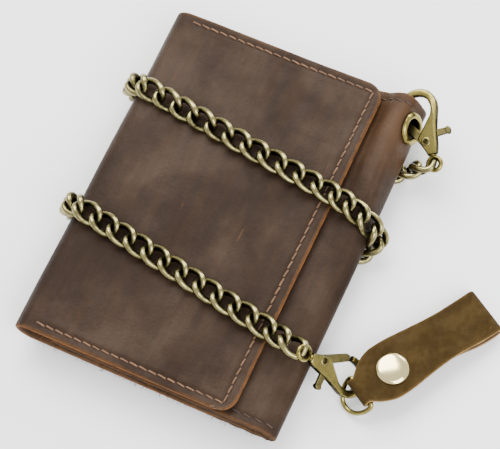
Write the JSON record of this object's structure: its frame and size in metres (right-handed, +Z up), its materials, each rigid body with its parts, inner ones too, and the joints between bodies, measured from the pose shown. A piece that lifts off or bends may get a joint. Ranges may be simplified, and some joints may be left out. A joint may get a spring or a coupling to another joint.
{
  "type": "chain wallet",
  "caption": "Closed trifold leather wallet wrapped twice by a curb chain, with swivel trigger clasps, an eyelet and a snap-closed belt strap on a D-ring.",
  "frame": {"origin": "middle of the whole object's box, on the surface that the chain and the strap lie on", "axes": "+X from the folded spine across the wallet, +Y up the wallet's long side towards the eyelet, +Z up from the surface"},
  "size_m": [0.1362, 0.1186, 0.0209],
  "materials": {
    "wallet_leather": "oil-tanned crazy-horse leather, waxy and scuffed",
    "lining_leather": "thin smooth lining leather",
    "strap_leather": "nubuck-finished leather",
    "antique_brass": "antique brass, dark in the recesses and rubbed bright on the high spots",
    "dark_brass": "darkened antique brass",
    "polished_cap": "polished pale brass",
    "chain_brass": "antique brass chain"
  },
  "bodies": {
    "wallet": {"outer_leather_back": "wallet_leather", "outer_leather_inner_panel": "wallet_leather", "inner_panel_lining": "lining_leather", "outer_leather_right_fold": "wallet_leather", "outer_leather_spine": "wallet_leather", "bill_divider": "lining_leather", "card_pocket_rear": "lining_leather", "card_pocket_front": "lining_leather", "eyelet_front": "antique_brass", "eyelet_washer": "dark_brass", "chain_run_under_upper": "chain_brass", "chain_run_under_lower": "chain_brass", "chain_edge_link_4": "chain_brass", "chain_edge_link_5": "chain_brass", "chain_edge_link_6": "chain_brass", "chain_lead_link_1": "chain_brass", "chain_lead_link_2": "chain_brass", "chain_lead_link_3": "chain_brass", "clasp_a_ring": "antique_brass"},
    "front_flap": {"outer_leather_flap": "wallet_leather", "flap_lining": "lining_leather"},
    "upper_turn_links_low": {"chain_turn_upper_1": "chain_brass", "chain_turn_upper_2": "chain_brass"},
    "upper_turn_links_high": {"chain_turn_upper_3": "chain_brass", "chain_turn_upper_4": "chain_brass"},
    "upper_crossing": {"chain_run_front_upper": "chain_brass"},
    "upper_edge_links": {"chain_edge_link_1": "chain_brass", "chain_edge_link_2": "chain_brass", "chain_edge_link_3": "chain_brass"},
    "lower_turn_links_low": {"chain_turn_lower_1": "chain_brass", "chain_turn_lower_2": "chain_brass"},
    "lower_turn_links_high": {"chain_turn_lower_3": "chain_brass", "chain_turn_lower_4": "chain_brass"},
    "lower_crossing": {"chain_run_front_lower": "chain_brass", "chain_tail_link_1": "chain_brass", "chain_tail_link_2": "chain_brass"},
    "clasp_b_eye": {"clasp_b_ring": "antique_brass"},
    "clasp_a_body": {"clasp_a_hook": "antique_brass", "clasp_a_rivet": "dark_brass", "clasp_a_spring": "dark_brass"},
    "clasp_a_trigger": {"clasp_a_gate": "dark_brass"},
    "clasp_b_body": {"clasp_b_hook": "antique_brass", "clasp_b_rivet": "dark_brass", "clasp_b_spring": "dark_brass"},
    "clasp_b_trigger": {"clasp_b_gate": "dark_brass"},
    "d_ring": {"d_ring": "antique_brass"},
    "belt_strap": {"belt_strap_upper_leg": "strap_leather", "belt_strap_neck": "strap_leather", "belt_strap_tab": "strap_leather", "belt_strap_fold": "strap_leather", "snap_cap": "polished_cap", "snap_socket": "dark_brass"},
    "belt_strap_free_leg": {"belt_strap_lower_leg": "strap_leather", "snap_stud": "dark_brass", "snap_stud_rivet": "dark_brass"}
  },
  "joints": [
    {"name": "front_flap_hinge", "type": "hinge", "parent": "wallet", "child": "front_flap", "pos_m": [-0.05955, -0.0023, 0.00995], "axis": [0, -1, 0], "range_deg": [0, 180], "deforming": ["outer_leather_spine"]},
    {"name": "upper_turn_joint_1", "type": "hinge", "parent": "wallet", "child": "upper_turn_links_low", "pos_m": [-0.062, 0.0277, 0.0021], "axis": [0, -1, 0], "range_deg": [0, 60]},
    {"name": "upper_turn_joint_2", "type": "hinge", "parent": "upper_turn_links_low", "child": "upper_turn_links_high", "pos_m": [-0.0677, 0.02635, 0.00995], "axis": [0, -1, 0], "range_deg": [0, 60]},
    {"name": "upper_turn_joint_3", "type": "hinge", "parent": "upper_turn_links_high", "child": "upper_crossing", "pos_m": [-0.062, 0.025, 0.0178], "axis": [0, -1, 0], "range_deg": [0, 60]},
    {"name": "upper_edge_joint", "type": "hinge", "parent": "upper_crossing", "child": "upper_edge_links", "pos_m": [0.0077, 0.0149, 0.0178], "axis": [0, -1, 0], "range_deg": [0, 20]},
    {"name": "lower_turn_joint_1", "type": "hinge", "parent": "wallet", "child": "lower_turn_links_low", "pos_m": [-0.062, -0.0161, 0.0021], "axis": [0, -1, 0], "range_deg": [0, 60]},
    {"name": "lower_turn_joint_2", "type": "hinge", "parent": "lower_turn_links_low", "child": "lower_turn_links_high", "pos_m": [-0.0677, -0.0176, 0.00995], "axis": [0, -1, 0], "range_deg": [0, 60]},
    {"name": "lower_turn_joint_3", "type": "hinge", "parent": "lower_turn_links_high", "child": "lower_crossing", "pos_m": [-0.062, -0.0191, 0.0178], "axis": [0, -1, 0], "range_deg": [0, 60]},
    {"name": "clasp_b_eye_joint", "type": "hinge", "parent": "lower_crossing", "child": "clasp_b_eye", "pos_m": [0.0178, -0.0339, 0.0185], "axis": [0, -1, 0], "range_deg": [0, 17]},
    {"name": "clasp_a_swivel", "type": "hinge", "parent": "wallet", "child": "clasp_a_body", "pos_m": [0.03024, 0.03867, 0.01187], "axis": [-0.5414, 0.8321, 0.1203], "range_deg": [-5, 5]},
    {"name": "clasp_a_trigger_pivot", "type": "hinge", "parent": "clasp_a_body", "child": "clasp_a_trigger", "pos_m": [0.02523, 0.04412, 0.01233], "axis": [0.208, 0.2712, -0.9398], "range_deg": [0, 4], "stiffness_Nm_per_rad": 0.02, "springref_deg": -17.19, "deforming": ["clasp_a_spring"]},
    {"name": "clasp_b_swivel", "type": "hinge", "parent": "clasp_b_eye", "child": "clasp_b_body", "pos_m": [0.0198, -0.0342, 0.0187], "axis": [0.7071, 0, -0.7071], "range_deg": [0, 45]},
    {"name": "clasp_b_trigger_pivot", "type": "hinge", "parent": "clasp_b_body", "child": "clasp_b_trigger", "pos_m": [0.02496, -0.0329, 0.01354], "axis": [-0.7071, 0, -0.7071], "range_deg": [0, 20], "stiffness_Nm_per_rad": 0.02, "springref_deg": -17.19, "deforming": ["clasp_b_spring"]},
    {"name": "d_ring_hinge", "type": "hinge", "parent": "clasp_b_body", "child": "d_ring", "pos_m": [0.03493, -0.0326, 0.00357], "axis": [0, -1, 0], "range_deg": [0, 10]},
    {"name": "belt_strap_pivot", "type": "hinge", "parent": "d_ring", "child": "belt_strap", "pos_m": [0.0382, -0.03485, 0.0063], "axis": [0.8576, -0.5143, 0], "range_deg": [0, 60]},
    {"name": "belt_strap_snap_opening", "type": "hinge", "parent": "belt_strap", "child": "belt_strap_free_leg", "pos_m": [0.0607, 0.00267, 0.00267], "axis": [0.8576, -0.5143, 0], "range_deg": [0, 90], "deforming": ["belt_strap_fold"]}
  ],
  "couplings": [
    {"joint": "upper_turn_joint_1", "follows": "front_flap_hinge", "ratio": 0.33333},
    {"joint": "upper_turn_joint_2", "follows": "front_flap_hinge", "ratio": 0.33333},
    {"joint": "upper_turn_joint_3", "follows": "front_flap_hinge", "ratio": 0.33333},
    {"joint": "upper_edge_joint", "follows": "front_flap_hinge", "ratio": 0.11111},
    {"joint": "lower_turn_joint_1", "follows": "front_flap_hinge", "ratio": 0.33333},
    {"joint": "lower_turn_joint_2", "follows": "front_flap_hinge", "ratio": 0.33333},
    {"joint": "lower_turn_joint_3", "follows": "front_flap_hinge", "ratio": 0.33333},
    {"joint": "clasp_b_eye_joint", "follows": "front_flap_hinge", "ratio": 0.094443}
  ]
}
